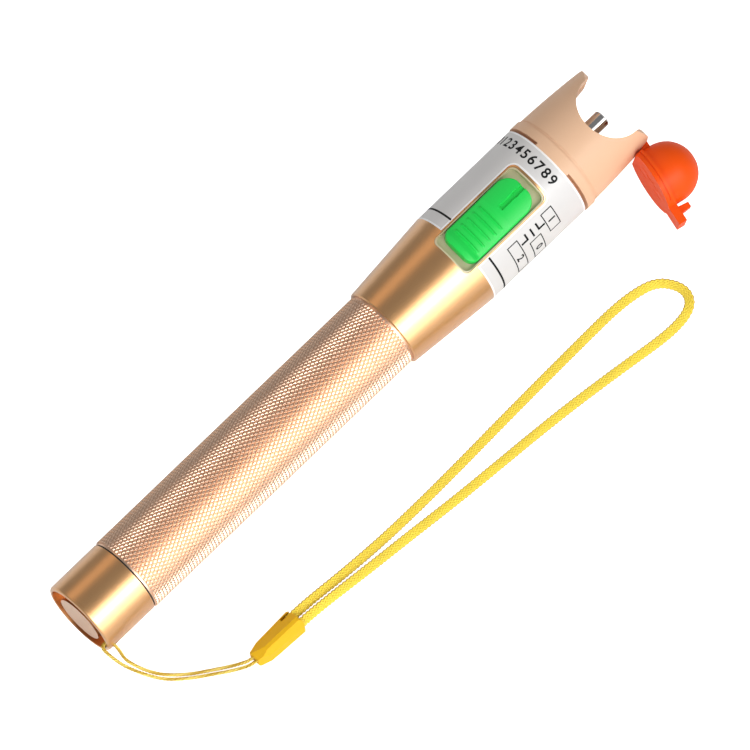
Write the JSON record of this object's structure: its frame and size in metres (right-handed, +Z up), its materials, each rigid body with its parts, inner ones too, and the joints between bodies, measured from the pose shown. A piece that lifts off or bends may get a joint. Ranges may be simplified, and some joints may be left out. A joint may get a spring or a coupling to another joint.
{
  "type": "visual fault locator",
  "caption": "Pen-shaped fibre fault locator with a knurled barrel, slide switch, flip dust cap over an optical port and a braided wrist loop.",
  "frame": {"origin": "centre of the rigid part's footprint on the surface it lies on, cord left out", "axes": "+X along the pen towards its port end, +Z up"},
  "size_m": [0.1806, 0.0594, 0.0265],
  "materials": {
    "gold_metal": "satin anodised",
    "black_rubber": "matt",
    "plated_steel": "plated",
    "grip_metal": "fine knurl, anodised",
    "cell_jacket": "printed jacket, plain",
    "label_film": "printed film",
    "tray_plastic": "moulded",
    "green_plastic": "moulded",
    "peach_plastic": "moulded, satin",
    "plated_brass": "polished",
    "ceramic_white": "ground",
    "brass": "turned",
    "gilt_metal": "plated",
    "lens_glass": "polished",
    "black_metal": "matt",
    "board_green": "solder mask",
    "black_plastic": "moulded",
    "orange_plastic": "soft moulding",
    "string_yellow": "twisted",
    "braid_yellow": "flat braid",
    "adjuster_yellow": "moulded"
  },
  "bodies": {
    "barrel": {"grip_tube": "grip_metal", "battery_rear": "cell_jacket", "battery_front": "cell_jacket", "head_sleeve": "gold_metal", "label_wrap": "label_film", "switch_tray": "tray_plastic", "crown": "peach_plastic", "port_barrel": "plated_brass", "split_sleeve": "ceramic_white", "port_nut": "plated_brass", "laser_housing": "brass", "laser_diode": "gilt_metal", "focus_lens": "lens_glass", "lens_ring": "black_metal", "circuit_board": "board_green", "board_screws": "plated_steel", "chassis": "black_plastic", "contact_insulator": "black_plastic", "contact_plate": "plated_steel", "slide_switch": "black_plastic", "driver_chip": "black_plastic", "ground_clip": "plated_steel"},
    "switch": {"switch_knob": "green_plastic", "switch_lever": "green_plastic"},
    "dust_cap": {"dust_cap": "orange_plastic"},
    "tail_seal": {"tail_seal": "black_rubber"},
    "tail_cap": {"tail_cap": "gold_metal", "battery_spring": "plated_steel", "lanyard_string": "string_yellow", "cord_adjuster": "adjuster_yellow", "wrist_loop": "braid_yellow"}
  },
  "joints": [
    {"name": "switch_slide", "type": "slide", "parent": "barrel", "child": "switch", "axis": [0.9997, 0, 0.023], "range_m": [-0.0018, 0.0018]},
    {"name": "dust_cap_hinge", "type": "hinge", "parent": "barrel", "child": "dust_cap", "pos_m": [0.08388, -0.00053, 0.011], "axis": [-0.022, -0.2876, 0.9575], "range_deg": [0, 192]},
    {"name": "tail_cap_travel", "type": "slide", "parent": "barrel", "child": "tail_seal", "axis": [-0.9997, 0, -0.023], "range_m": [0, 0.0082]},
    {"name": "tail_cap_turn", "type": "hinge", "parent": "tail_seal", "child": "tail_cap", "pos_m": [-0.08214, 0.00886, 0.01], "axis": [-0.9997, 0, -0.023], "range_deg": [0, 2880]}
  ],
  "couplings": [
    {"joint": "tail_cap_travel", "follows": "tail_cap_turn", "m_per_rad": 0.00015915}
  ]
}
